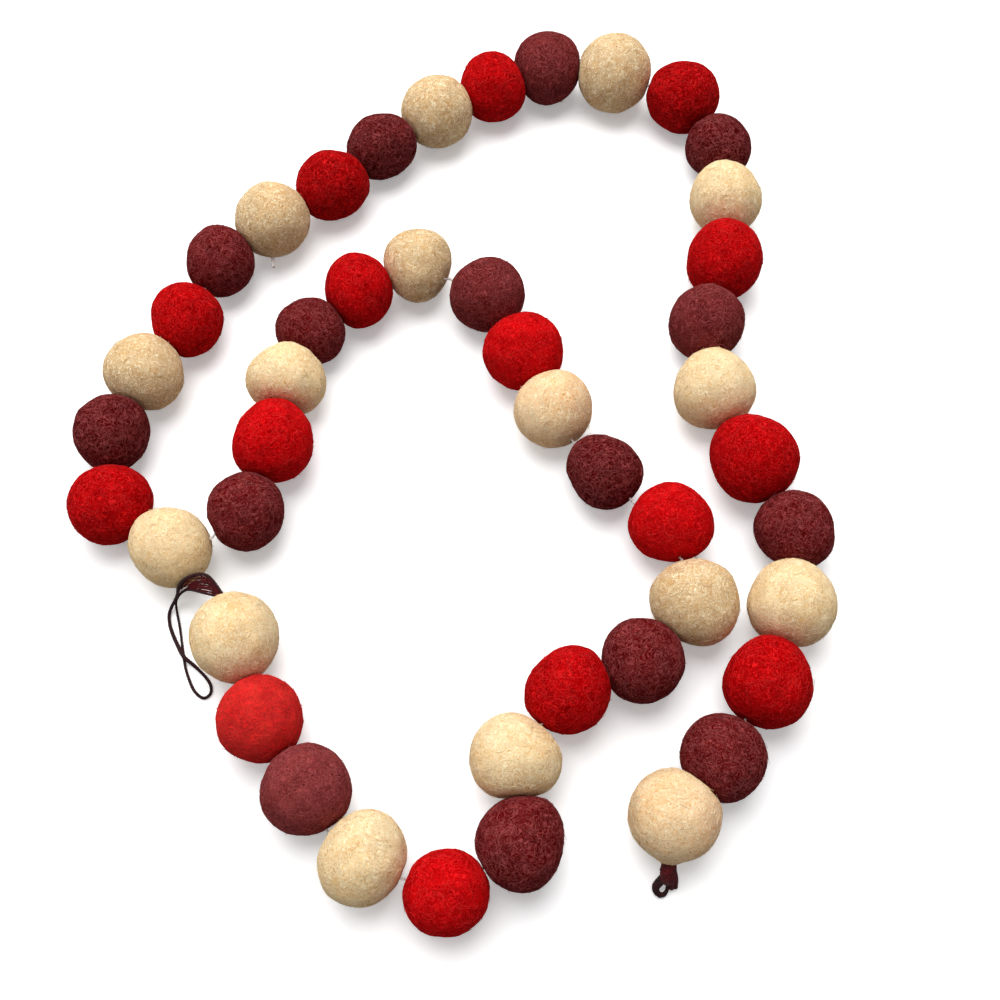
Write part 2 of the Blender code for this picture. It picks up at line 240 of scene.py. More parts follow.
# Fine hairs of thread: thin bright lines, a height for bump, and a slow change of shade.
hair_tree, given, result = new_tree(
    "thread_hairs", "ShaderNodeTree",
    [("Place", "Vector"), ("Hair Spacing", "Float", 1.0), ("Hair Width", "Float", 0.03)],
    [("Hairs", "Float"), ("Height", "Float"), ("Marl", "Float")])
in_hairs = calc_vector(hair_tree, "SCALE", given["Place"],
                       calc(hair_tree, "DIVIDE", 1000.0, given["Hair Spacing"]))
HAIR_LAYERS = (((0.0, 0.0, 0.0), 0.55), ((31.7, 11.2, 5.9), 0.80), ((7.1, 43.3, 19.4), 1.25))
hairs = 0.0
for shift, scale in HAIR_LAYERS:
    cloud = node(hair_tree, "ShaderNodeTexNoise",
                 {"Vector": calc_vector(hair_tree, "ADD", in_hairs, shift), "Scale": scale,
                  "Detail": 2.0, "Roughness": 0.45, "Distortion": 1.0}).outputs[0]
    away = calc(hair_tree, "ABSOLUTE", calc(hair_tree, "SUBTRACT", cloud, 0.5))
    layer = calc(hair_tree, "SUBTRACT", 1.0,
                 calc(hair_tree, "DIVIDE", away, given["Hair Width"], clamp=True), clamp=True)
    hairs = calc(hair_tree, "MAXIMUM", layer, hairs)
nap = node(hair_tree, "ShaderNodeTexNoise",
           {"Vector": in_hairs, "Scale": 3.2, "Detail": 3.0, "Roughness": 0.6}).outputs[0]
marl = node(hair_tree, "ShaderNodeTexNoise",
            {"Vector": in_hairs, "Scale": 0.25, "Detail": 3.0, "Roughness": 0.6}).outputs[0]
hair_tree.links.new(hairs, result["Hairs"])
hair_tree.links.new(calc(hair_tree, "ADD", calc(hair_tree, "MULTIPLY", hairs, 0.45), nap),
                    result["Height"])
hair_tree.links.new(marl, result["Marl"])


def mixed(tree, share, first, second, kind="MIX"):
    """Two colours mixed by a share, in the sockets that a Mix node keeps for colours."""
    return node(tree, "ShaderNodeMix", {0: share, 6: first, 7: second},
                data_type="RGBA", blend_type=kind).outputs[2]


def new_material(name, roughness, sheen, sheen_colour, gloss):
    """A material with its uniform values set, its node tree and its shader."""
    material = bpy.data.materials.new(name)
    material.use_nodes = True
    shader = material.node_tree.nodes["Principled BSDF"]
    shader.inputs["Roughness"].default_value = roughness
    shader.inputs["Sheen Weight"].default_value = sheen
    shader.inputs["Sheen Roughness"].default_value = 0.5
    shader.inputs["Sheen Tint"].default_value = sheen_colour
    shader.inputs["Specular IOR Level"].default_value = gloss
    return material, material.node_tree, shader


def make_floss(name, dark, mid, light, spacing, light_share, sheen):
    """Soft thread: a ground that drifts between two shades, fine paler hairs, a little sheen."""
    material, tree, shader = new_material(name, 0.6, sheen, light, gloss=0.3)
    place = node(tree, "ShaderNodeTexCoord").outputs["Object"]
    hair = node(tree, "ShaderNodeGroup",
                {"Place": place, "Hair Spacing": spacing, "Hair Width": 0.05}, node_tree=hair_tree)
    drift = node(tree, "ShaderNodeMapRange",
                 {"Value": hair.outputs["Marl"], "From Min": 0.38, "From Max": 0.62}).outputs[0]
    ground = mixed(tree, drift, dark, mid)
    paler = calc(tree, "MULTIPLY", hair.outputs["Hairs"], light_share)
    tree.links.new(mixed(tree, paler, ground, light), shader.inputs["Base Color"])
    bump = node(tree, "ShaderNodeBump",
                {"Height": hair.outputs["Height"], "Distance": 0.00008, "Strength": 0.6})
    tree.links.new(bump.outputs[0], shader.inputs["Normal"])
    return material


dark_floss = make_floss("dark_maroon_floss", dark=(0.006, 0.0010, 0.0020, 1),
                        mid=(0.026, 0.0006, 0.0022, 1), light=(0.11, 0.012, 0.016, 1),
                        spacing=0.35, light_share=0.25, sheen=0.0)
crimson_floss = make_floss("crimson_floss", dark=(0.036, 0.0002, 0.0014, 1),
                           mid=(0.110, 0.0004, 0.0030, 1), light=(0.26, 0.014, 0.020, 1),
                           spacing=0.35, light_share=0.25, sheen=0.0)

loop_route = smooth_route(HEAD_LOOP)
leg_and_shade_half_width = np.interp(np.linspace(0, 1, len(loop_route)), *LEG_AND_SHADE_HALF_WIDTHS) / 1000
head_loop = grow("hanging_loop", route_mesh("hanging_loop", [(loop_route, leg_and_shade_half_width)]),
                 floss_tree, {"Step": 0.0003, "Strands": 4, "Turns a Metre": 290.0,
                              "Strand Share": 0.52, "Wander": 0.00010, "Sides": 6,
                              "Material": dark_floss})
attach(head_loop, "root")
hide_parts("head_loop")

# Where the loop bends over beside the next ball, its floss has come apart into loose strands.
# Most of them fan out close to the ball and gather along the lower leg, and a few span the bend.
GATHERED_STRANDS = 60
SPANNING_STRANDS = 20
POINTS_A_STRAND = 24
STRAND_DRIFT = 0.0005
DRIFT_SCALE = 300
OUTER_LEG = [Vector(point) for point in HEAD_LOOP[0:10]]
INNER_LEG = [Vector(point) for point in reversed(HEAD_LOOP[32:40])]


def along_leg(leg, share):
    """The point at a share of the way along one leg of the bend."""
    at = share * (len(leg) - 1)
    index = min(int(at), len(leg) - 2)
    return leg[index].lerp(leg[index + 1], at - index)


chance = np.random.default_rng(46)
fan_routes = []
for strand_number in range(GATHERED_STRANDS + SPANNING_STRANDS):
    spans = strand_number >= GATHERED_STRANDS
    across = chance.uniform(0.05, 0.95)
    sag = chance.uniform(-0.0005, 0.0003)
    start = chance.uniform(0.02, 0.10)
    end = chance.uniform(0.78, 0.97) if spans else chance.uniform(0.50, 0.80)
    strand_points = []
    for part in np.linspace(0, 1, POINTS_A_STRAND):
        along = start + (end - start) * part
        # A spanning strand is loose to its end and keeps its distance from the legs. A gathered
        # one is fast at both ends, and closes on the lower leg from a third of the way on.
        if spans:
            loose = math.sin(math.pi * min(0.5, part * 2))
            apart = 1.0
        else:
            loose = math.sin(math.pi * part) ** 0.4
            apart = 1 - min(1, max(0, (along - 0.30) / 0.45)) ** 1.5
        towards_inner = 1 - (1 - across) * apart
        place = along_leg(OUTER_LEG, along).lerp(along_leg(INNER_LEG, along), towards_inner)
        drift = Vector((noise.noise(place * DRIFT_SCALE + Vector((strand_number * 3.7, 0, 0))),
                        noise.noise(place * DRIFT_SCALE + Vector((0, strand_number * 5.1, 9))), 0))
        strand_points.append(place + drift * STRAND_DRIFT * loose + Vector((0, 0, sag * loose)))
    fan_routes.append((strand_points, chance.uniform(0.00006, 0.00011)))
loose_floss = grow("loose_floss", route_mesh("loose_floss", fan_routes), floss_tree,
                   {"Step": 0.0005, "Strands": 1, "Turns a Metre": 0.0, "Strand Share": 1.0,
                    "Wander": 0.00016, "Sides": 4, "Material": crimson_floss})
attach(loose_floss, "root")


# The wool balls: carded wool rolled wet with soap into a ball until it felts. Each is dense and
# matted, a little uneven, pressed flat against its neighbours on the string, and its fibres
# swirl over it. The cream ones are coral on the side that faces the red ball before them, partly
# from dye they took from it and partly as painted reflected light from it.
BALL_COUNT = 46
COLOUR_ORDER = ("cream", "maroon", "red")
BALL_CUTS = 15
BALL_SMOOTHING = 14
# The solids' facets cut a little off the real round, and the dressed ball gets it back.
FACET_LOSS = 1.020
BUMPS = ((170, 0.00030), (400, 0.00010))
TABLE_SOFTNESS = 0.0003
# Balls nearer than OPEN_MEETING swell towards each other and are pressed flat where they meet.
# Others are drawn in a little where the thread goes in.
OPEN_MEETING = 0.0007
CONTACT_GAP = 0.00002
SWELLING = 0.0009
SWELLING_WIDTH = 0.0046
DIMPLE = 0.0006
DIMPLE_WIDTH = 0.0020

TINTS = {
    "cream": (0.92, 0.69, 0.38), "tan": (0.68, 0.46, 0.23), "peach": (0.92, 0.64, 0.36),
    "maroon": (0.112, 0.0028, 0.0032), "deep_maroon": (0.080, 0.0012, 0.0016),
    "heather": (0.135, 0.0130, 0.0130), "dusty": (0.230, 0.0380, 0.0380),
    "red": (0.39, 0.0002, 0.0010), "deep": (0.26, 0.0001, 0.0005),
    "bright": (0.54, 0.0010, 0.0020), "orange": (0.63, 0.0330, 0.0250),
}
# The balls that differ from the tint of their wool.
BALL_TINTS = {
    "tan": (13, 16, 19, 22, 31, 37), "peach": (1, 34), "dusty": (44,), "heather": (8, 14, 32),
    "deep_maroon": (11, 17, 23, 35), "deep": (12, 18), "bright": (27, 33, 36, 42),
    "orange": (45,),
}
# How far the shade drifts from ball to ball and from patch to patch, and the red, green and blue
# drift of its warmth.
BALL_DRIFT = 0.05
PATCH_DRIFT = 0.10
PATCH_SCALE = 230
WARMTH = (0.0, 0.07, 0.20)
WARMTH_SCALE = 95
# Dye from the red ball before each cream one, together with painted reflected light from that
# red ball on the side facing it, and two more patches of dye in other places.
DYE_AND_BOUNCE_COLOUR = (0.60, 0.17, 0.10)
DYE_AND_BOUNCE_EDGE = 0.35
DYE_AND_BOUNCE_PATCH_SCALE = 300
COMMON_DYE_AND_BOUNCE = 0.22
DYE_AND_BOUNCE_STRENGTH = {28: 1.0, 10: 0.55, 7: 0.5, 4: 0.55, 46: 0.5, 31: 0.4, 37: 0.4}
EXTRA_DYE = {1: ((1.0, -0.35, 0.35), 0.35), 34: ((1.0, -0.2, 0.3), 0.35)}

# Felt drawn out to a low cone where something is pulled through it: the ball, the place of the
# cone's tip, its height and its half width.
TAIL_HOLE = (0.0604, -0.1325, 0.0084)
THREAD_END = [(-0.0601, 0.0629, 0.0076), (-0.0600, 0.0614, 0.0072), (-0.0598, 0.0594, 0.0069),
              (-0.0594, 0.0566, 0.0068)]
DRAWN_OUT = {1: (TAIL_HOLE, 0.0011, 0.0032), 19: (THREAD_END[1], 0.0007, 0.0014)}

wool_form = bmesh.new()
bmesh.ops.create_cube(wool_form, size=2)
bmesh.ops.subdivide_edges(wool_form, edges=wool_form.edges[:], cuts=BALL_CUTS, use_grid_fill=True)
wool_form.verts.ensure_lookup_table()
ways = np.tan(np.array([vert.co for vert in wool_form.verts]) * math.pi / 4)
ways /= np.linalg.norm(ways, axis=1)[:, None]
wool_faces = [[vert.index for vert in face.verts] for face in wool_form.faces]
wool_edges = np.array([[vert.index for vert in edge.verts] for edge in wool_form.edges])
wool_form.free()
ends_here = np.concatenate([wool_edges[:, 0], wool_edges[:, 1]])
ends_there = np.concatenate([wool_edges[:, 1], wool_edges[:, 0]])
neighbours = np.bincount(ends_here, minlength=len(ways))


def evened(values, times):
    """Average values over the ball's surface with their neighbours, a number of times."""
    for _ in range(times):
        around = np.bincount(ends_here, weights=values[ends_there], minlength=len(ways))
        values = (values + around / neighbours) / 2
    return values


def pressed(points, face, way, softness=0.0005):
    """Flatten points softly against the plane through face that way points out of."""
    over = (points - face) @ way
    held = -softness * np.logaddexp(0, -over / softness)
    return points + np.outer(held - over, way)


def cad_points(number):
    """The points of one ball's solid."""
    mesh = nodes[f"ball_{number:02d}"].data
    found = np.empty(len(mesh.vertices) * 3, np.float32)
    mesh.vertices.foreach_get("co", found)
    return found.reshape(-1, 3).astype(float)


cad = {number: cad_points(number) for number in range(1, BALL_COUNT + 1)}
middles = {number: (points.min(0) + points.max(0)) / 2 for number, points in cad.items()}


def meeting(number):
    """Where a ball meets the next one, how wide they stand apart, and the way to the next."""
    way = middles[number + 1] - middles[number]
    way /= np.linalg.norm(way)
    here = ((cad[number] - middles[number]) @ way).max()
    there = ((cad[number + 1] - middles[number]) @ way).min()
    return middles[number] + way * (here + there) / 2, there - here, way


meetings = {number: meeting(number) for number in range(1, BALL_COUNT)}


# Wool fibres: short curly hairs that lie on a ball's surface, and a few that stand off it.
fibre_tree, given, result = new_tree(
    "wool_fibres", "GeometryNodeTree",
    [("Ball", "Geometry"), ("Fibre Density", "Float", 300000.0), ("Fibre Length", "Float", 0.003),
     ("Fibre Width", "Float", 0.0001), ("Curl", "Float", 0.003), ("Stray", "Float", 0.0006),
     ("Seed", "Int", 0), ("Fibre Material", "Material")],
    [("Felted Ball", "Geometry")])
upward = node(fibre_tree, "ShaderNodeSeparateXYZ",
              {0: node(fibre_tree, "GeometryNodeInputNormal").outputs[0]}).outputs["Z"]
fewer_below = calc(fibre_tree, "MULTIPLY_ADD", upward, 0.9, 1.1, clamp=True)
scatter = node(fibre_tree, "GeometryNodeDistributePointsOnFaces",
               {"Mesh": given["Ball"], "Seed": given["Seed"],
                "Density": calc(fibre_tree, "MULTIPLY", given["Fibre Density"], fewer_below)})


def random_value(low, high, seed):
    """A random number for each fibre, in the sockets that the node keeps for numbers."""
    seed = calc(fibre_tree, "ADD", given["Seed"], float(seed))
    return node(fibre_tree, "FunctionNodeRandomValue", {2: low, 3: high, "Seed": seed},
                data_type="FLOAT").outputs[1]


spot = node(fibre_tree, "GeometryNodeInputPosition").outputs[0]
lie = node(fibre_tree, "ShaderNodeTexNoise",
           {"Vector": spot, "Scale": 90.0, "Detail": 1.0}).outputs[0]
lie = calc(fibre_tree, "ADD", calc(fibre_tree, "MULTIPLY", lie, 20.0),
           random_value(-0.9, 0.9, 101))
turned = node(fibre_tree, "FunctionNodeAxisAngleToRotation",
              {"Axis": (0, 0, 1), "Angle": lie}).outputs[0]
turned = node(fibre_tree, "FunctionNodeRotateRotation",
              {"Rotation": scatter.outputs["Rotation"], "Rotate By": turned},
              rotation_space="LOCAL").outputs[0]
bend = node(fibre_tree, "GeometryNodeCurveArc",
            {"Resolution": 6, "Radius": 0.55, "Start Angle": -1.0, "Sweep Angle": 2.0}).outputs[0]
length = calc(fibre_tree, "MULTIPLY", given["Fibre Length"], random_value(0.5, 1.3, 202))
fibres = node(fibre_tree, "GeometryNodeInstanceOnPoints",
              {"Points": scatter.outputs["Points"], "Instance": bend, "Rotation": turned,
               "Scale": length}).outputs[0]
for label, value in (("fibre_tone", random_value(0.02, 1, 303)),
                     ("stray", random_value(0, 1, 404))):
    fibres = node(fibre_tree, "GeometryNodeStoreNamedAttribute",
                  {0: fibres, "Name": label, "Value": value},
                  data_type="FLOAT", domain="INSTANCE").outputs[0]
fibres = node(fibre_tree, "GeometryNodeRealizeInstances", {0: fibres}).outputs[0]
position = node(fibre_tree, "GeometryNodeInputPosition").outputs[0]
tone = node(fibre_tree, "GeometryNodeInputNamedAttribute", {0: "fibre_tone"},
            data_type="FLOAT").outputs[0]
curls = node(fibre_tree, "ShaderNodeTexNoise",
             {"Vector": position, "W": calc(fibre_tree, "MULTIPLY", tone, 50.0), "Scale": 260.0,
              "Detail": 0.0}, noise_dimensions="4D").outputs["Color"]
curls = calc_vector(fibre_tree, "SUBTRACT", curls, (0.5, 0.5, 0.5))
curls = calc_vector(fibre_tree, "SCALE", curls, given["Curl"])
fibres = node(fibre_tree, "GeometryNodeSetPosition", {0: fibres, "Offset": curls}).outputs[0]
surface = node(fibre_tree, "GeometryNodeProximity",
               {0: given["Ball"], "Sample Position": position},
               target_element="FACES").outputs["Position"]
normal_there = node(fibre_tree, "GeometryNodeInputNormal").outputs[0]
outward = node(fibre_tree, "GeometryNodeSampleNearestSurface",
               {0: given["Ball"], "Value": normal_there, "Sample Position": position},
               data_type="FLOAT_VECTOR").outputs["Value"]
tint_there = node(fibre_tree, "GeometryNodeInputNamedAttribute", {0: "felt_tint"},
                  data_type="FLOAT_COLOR").outputs[0]
ball_tint = node(fibre_tree, "GeometryNodeSampleNearestSurface",
                 {0: given["Ball"], "Value": tint_there, "Sample Position": position},
                 data_type="FLOAT_COLOR").outputs["Value"]
fibres = node(fibre_tree, "GeometryNodeStoreNamedAttribute",
              {0: fibres, "Name": "felt_tint", "Value": ball_tint},
              data_type="FLOAT_COLOR", domain="POINT").outputs[0]
stray = node(fibre_tree, "GeometryNodeInputNamedAttribute", {0: "stray"},
             data_type="FLOAT").outputs[0]
few = calc(fibre_tree, "POWER", stray, 14.0)
tip = node(fibre_tree, "GeometryNodeSplineParameter").outputs["Factor"]
tip = calc(fibre_tree, "POWER", tip, 2.0)
lift = calc(fibre_tree, "MULTIPLY", given["Stray"], calc(fibre_tree, "MULTIPLY", few, tip))
lift = calc(fibre_tree, "ADD", 0.00002, lift)
laid = calc_vector(fibre_tree, "ADD", surface, calc_vector(fibre_tree, "SCALE", outward, lift))
fibres = node(fibre_tree, "GeometryNodeSetPosition", {0: fibres, "Position": laid}).outputs[0]
ring = node(fibre_tree, "GeometryNodeCurvePrimitiveCircle", {"Resolution": 3, "Radius": 0.5},
            mode="RADIUS").outputs[0]
fibres = node(fibre_tree, "GeometryNodeCurveToMesh",
              {"Curve": fibres, "Profile Curve": ring, "Scale": given["Fibre Width"],
               "Fill Caps": True}).outputs[0]
fibres = kept_above_table(fibre_tree, fibres)
joined = fibre_tree.nodes.new("GeometryNodeJoinGeometry")
fibre_tree.links.new(fibres, joined.inputs[0])
fibre_tree.links.new(given["Ball"], joined.inputs[0])
felted = node(fibre_tree, "GeometryNodeSetShadeSmooth", {0: joined.outputs[0]}).outputs[0]
felted = node(fibre_tree, "GeometryNodeRealizeInstances", {0: felted}).outputs[0]
felted = node(fibre_tree, "GeometryNodeSetMaterial",
              {0: felted, "Selection": calc(fibre_tree, "GREATER_THAN", tone, 0.01),
               "Material": given["Fibre Material"]}).outputs[0]
fibre_tree.links.new(felted, result[0])

# Matted wool: fine curled hairs that cross in several directions, dark pores between them, a slow
# mottle, and the height of all of them for bump.
WOOL_LAYS = ((0.0, 0.3, 0.2), (0.5, 1.1, 1.3), (1.2, 0.4, 2.3), (0.2, 1.9, 0.9))
wool_tree, given, result = new_tree(
    "matted_wool", "ShaderNodeTree",
    [("Place", "Vector"), ("Hair Length", "Float", 3.6), ("Hair Spacing", "Float", 0.80),
     ("Hair Width", "Float", 0.05), ("Curl", "Float", 2.4), ("Pore Size", "Float", 0.42)],
    [("Hairs", "Float"), ("Pores", "Float"), ("Mottle", "Float"), ("Height", "Float")])
in_millimetres = calc_vector(wool_tree, "SCALE", given["Place"], 1000.0)
swirl = node(wool_tree, "ShaderNodeTexNoise",
             {"Vector": in_millimetres, "Scale": 0.36, "Detail": 1.0}).outputs["Color"]
swirl = calc_vector(wool_tree, "SUBTRACT", swirl, (0.5, 0.5, 0.5))
swirl = calc_vector(wool_tree, "SCALE", swirl, calc(wool_tree, "MULTIPLY", given["Curl"], 2.0))
swirled = calc_vector(wool_tree, "ADD", in_millimetres, swirl)
long_hair = node(wool_tree, "ShaderNodeCombineXYZ",
                 {"X": given["Hair Length"], "Y": given["Hair Spacing"],
                  "Z": given["Hair Spacing"]}).outputs[0]
wool_hairs = 0.0
for layer_number, lay in enumerate(WOOL_LAYS):
    laid = node(wool_tree, "ShaderNodeMapping",
                {"Vector": swirled, "Rotation": lay, "Scale": long_hair,
                 "Location": (layer_number * 17.3, layer_number * 5.9, 0)},
                vector_type="TEXTURE").outputs[0]
    cloud = node(wool_tree, "ShaderNodeTexNoise",
                 {"Vector": laid, "Scale": 1.0, "Detail": 0.5, "Roughness": 0.4})
    away = calc(wool_tree, "ABSOLUTE", calc(wool_tree, "SUBTRACT", cloud.outputs[0], 0.5))
    layer = calc(wool_tree, "SUBTRACT", 1.0, calc(wool_tree, "DIVIDE", away, given["Hair Width"]),
                 clamp=True)
    there = node(wool_tree, "ShaderNodeSeparateColor", {0: cloud.outputs["Color"]}).outputs[1]
    there = node(wool_tree, "ShaderNodeMapRange",
                 {"Value": there, "From Min": 0.40, "From Max": 0.58}).outputs[0]
    wool_hairs = calc(wool_tree, "MAXIMUM", calc(wool_tree, "MULTIPLY", layer, there), wool_hairs)
pore_size = node(wool_tree, "ShaderNodeCombineXYZ",
                 {axis: given["Pore Size"] for axis in "XYZ"}).outputs[0]
grit = node(wool_tree, "ShaderNodeTexNoise",
            {"Vector": calc_vector(wool_tree, "DIVIDE", swirled, pore_size), "Scale": 0.8,
             "Detail": 2.0, "Roughness": 0.55}).outputs[0]
pores = node(wool_tree, "ShaderNodeMapRange",
             {"Value": grit, "From Min": 0.50, "From Max": 0.34}).outputs[0]
mottle = node(wool_tree, "ShaderNodeTexNoise",
              {"Vector": in_millimetres, "Scale": 0.20, "Detail": 3.0,
               "Roughness": 0.55}).outputs[0]
mottle = node(wool_tree, "ShaderNodeMapRange",
              {"Value": mottle, "From Min": 0.34, "From Max": 0.66}).outputs[0]
wool_tree.links.new(wool_hairs, result["Hairs"])
wool_tree.links.new(pores, result["Pores"])
wool_tree.links.new(mottle, result["Mottle"])
wool_tree.links.new(calc(wool_tree, "ADD", calc(wool_tree, "MULTIPLY", wool_hairs, 0.5), grit),
                    result["Height"])


def make_felt(name, hair, hair_share, pore, deep):
    """Matted wool: tint and painted bounce light, mottled, with paler hairs and darker pores."""
    material, tree, shader = new_material(name, 1.0, 0.0, hair, gloss=0.02)
    place = node(tree, "ShaderNodeTexCoord").outputs["Object"]
    tint = node(tree, "ShaderNodeAttribute", attribute_name="felt_tint").outputs["Color"]
    wool = node(tree, "ShaderNodeGroup", {"Place": place}, node_tree=wool_tree)
    deeper = mixed(tree, 1.0, tint, deep, "MULTIPLY")
    mottled = mixed(tree, wool.outputs["Mottle"], deeper, tint)
    darker = mixed(tree, 1.0, mottled, pore, "MULTIPLY")
    porous = mixed(tree, wool.outputs["Pores"], mottled, darker)
    paler = calc(tree, "MULTIPLY", wool.outputs["Hairs"], hair_share)
    tree.links.new(mixed(tree, paler, porous, hair), shader.inputs["Base Color"])
    bump = node(tree, "ShaderNodeBump",
                {"Height": wool.outputs["Height"], "Distance": 0.00020, "Strength": 0.7})
    tree.links.new(bump.outputs[0], shader.inputs["Normal"])
    return material


def make_fibre(name, light, dark, share):
    """Loose wool on the surface: the ball's tint, some hairs paler and some darker."""
    material, tree, shader = new_material(name, 1.0, 0.0, light, gloss=0.02)
    tint = node(tree, "ShaderNodeAttribute", attribute_name="felt_tint").outputs["Color"]
    tone = node(tree, "ShaderNodeAttribute", attribute_name="fibre_tone").outputs["Fac"]
    paler = mixed(tree, share, tint, light)
    darker = mixed(tree, 1.0, tint, dark, "MULTIPLY")
    tree.links.new(mixed(tree, calc(tree, "POWER", tone, 0.6), darker, paler),
                   shader.inputs["Base Color"])
    return material


felts = {
    "cream": (make_felt("cream_felt", (1.0, 0.88, 0.61, 1), 0.90, (0.72, 0.60, 0.46, 1),
                        (0.87, 0.77, 0.66, 1)),
              make_fibre("cream_fibre", (0.98, 0.88, 0.64, 1), (0.80, 0.70, 0.58, 1), 0.60)),
    "maroon": (make_felt("maroon_felt", (0.46, 0.096, 0.096, 1), 0.60, (0.42, 0.32, 0.36, 1),
                         (0.66, 0.50, 0.52, 1)),
               make_fibre("maroon_fibre", (0.56, 0.150, 0.150, 1), (0.60, 0.45, 0.50, 1), 0.55)),
    "red": (make_felt("red_felt", (0.95, 0.017, 0.019, 1), 0.70, (0.52, 0.40, 0.50, 1),
                      (0.68, 0.50, 0.60, 1)),
            make_fibre("red_fibre", (1.0, 0.055, 0.052, 1), (0.66, 0.50, 0.60, 1), 0.50)),
}


def dyed_and_bounce_painted(number, wool, points):
    """Each point's tint: its wool, uneven, and dye and painted reflected light from a red ball."""
    tint_name = next((name for name, balls in BALL_TINTS.items() if number in balls), wool)
    uneven = [1 + BALL_DRIFT * noise.noise(Vector((number * 1.7, 0.3, 0.9)))
              + PATCH_DRIFT * noise.noise(Vector(point) * PATCH_SCALE
                                          + Vector((number * 4.1, 0, 0)))
              for point in points]
    tints = np.outer(uneven, TINTS[tint_name])
    warmth = np.array([noise.noise(Vector(point) * WARMTH_SCALE + Vector((0, number * 2.9, 0)))
                       for point in points])
    tints *= 1 + np.outer(warmth, WARMTH)
    dye_and_bounce_marks = []
    if wool == "cream" and number > 1:
        strength = DYE_AND_BOUNCE_STRENGTH.get(number, COMMON_DYE_AND_BOUNCE)
        dye_and_bounce_marks.append((middles[number - 1] - middles[number], strength))
    if number in EXTRA_DYE:
        dye_and_bounce_marks.append((np.array(EXTRA_DYE[number][0]), EXTRA_DYE[number][1]))
    # On a cream ball, the coral on the side facing the red ball before it is partly dye and partly
    # painted reflected light from that ball.
    for towards, strength in dye_and_bounce_marks:
        facing = ways @ (towards / np.linalg.norm(towards))
        dye_and_bounce_patches = np.array([0.85 + 0.5 * noise.noise(Vector(point) * DYE_AND_BOUNCE_PATCH_SCALE)
                         for point in points])
        reached = np.clip((facing - DYE_AND_BOUNCE_EDGE) / 0.6, 0, 1) ** 1.5
        share = np.clip(strength * reached * dye_and_bounce_patches, 0, 1)[:, None]
        tints = tints * (1 - share) + np.array(DYE_AND_BOUNCE_COLOUR) * share
    return np.hstack([tints, np.ones((len(points), 1))]).astype(np.float32)


for number in range(1, BALL_COUNT + 1):
    wool = COLOUR_ORDER[(number - 1) % 3]
    centre = middles[number]
    hull = bmesh.new()
    for point in cad[number]:
        hull.verts.new(point)
    bmesh.ops.remove_doubles(hull, verts=hull.verts, dist=0.00001)
    sorted_out = bmesh.ops.convex_hull(hull, input=hull.verts)
    inside = {item for key in ("geom_interior", "geom_unused") for item in sorted_out[key]
              if isinstance(item, bmesh.types.BMVert)}
    bmesh.ops.delete(hull, geom=list(inside), context="VERTS")
    shell = BVHTree.FromBMesh(hull)
    hull.free()
    reach = np.array([shell.ray_cast(Vector(centre), Vector(way))[3] for way in ways])
    points = centre + ways * (evened(reach, BALL_SMOOTHING) * FACET_LOSS)[:, None]

    seed = Vector((number * 9.1, number * 3.3, number * 6.7))
    bumps = np.array([sum(noise.noise(Vector(point) * scale + seed) * height
                          for scale, height in BUMPS) for point in points])
    points += ways * bumps[:, None]
    if number in DRAWN_OUT:
        tip_place, cone_height, cone_width = DRAWN_OUT[number]
        near = np.exp(-((points - tip_place) ** 2).sum(1) / cone_width ** 2)
        points += ways * (near * cone_height)[:, None]
    for other, sign in ((number - 1, -1), (number, 1)):
        if other in meetings:
            face, apart, way = meetings[other]
            if apart < OPEN_MEETING:
                near = np.exp(-((points - face) ** 2).sum(1) / SWELLING_WIDTH ** 2)
                points += ways * (near * SWELLING)[:, None]
                points = pressed(points, face - sign * way * CONTACT_GAP, sign * way)
            else:
                near = np.exp(-((points - face) ** 2).sum(1) / DIMPLE_WIDTH ** 2)
                points -= ways * (near * DIMPLE)[:, None]
    points = pressed(points, np.array((0, 0, TABLE_GAP)), np.array((0, 0, -1.0)), TABLE_SOFTNESS)

    mesh = bpy.data.meshes.new(f"wool_ball_{number:02d}")
    mesh.from_pydata(points.tolist(), [], wool_faces)
    mesh.materials.append(felts[wool][0])
    mesh.attributes.new("felt_tint", "FLOAT_COLOR", "POINT").data.foreach_set(
        "color", dyed_and_bounce_painted(number, wool, points).ravel())

    ball = grow(mesh.name, mesh, fibre_tree,
                {"Fibre Density": 290000.0, "Fibre Length": 0.0030, "Fibre Width": 0.00012,
                 "Curl": 0.0034, "Stray": 0.0007, "Seed": number * 17,
                 "Fibre Material": felts[wool][1]})
    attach(ball, "root")
    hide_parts(f"ball_{number:02d}")


# The string: white stringing thread, drawn through every ball with a long needle. It shows where
# two balls stand a little apart, and dips inside them where they are pressed together.
STRING_HALF_WIDTH = 0.00045
HIDDEN_DEPTH = 0.0022
RING_REACH = 0.003
white_thread = make_floss("white_thread_looks", dark=(0.62, 0.54, 0.50, 1),
                          mid=(0.78, 0.72, 0.68, 1), light=(0.93, 0.90, 0.88, 1),
                          spacing=0.30, light_share=0.6, sheen=0.2)

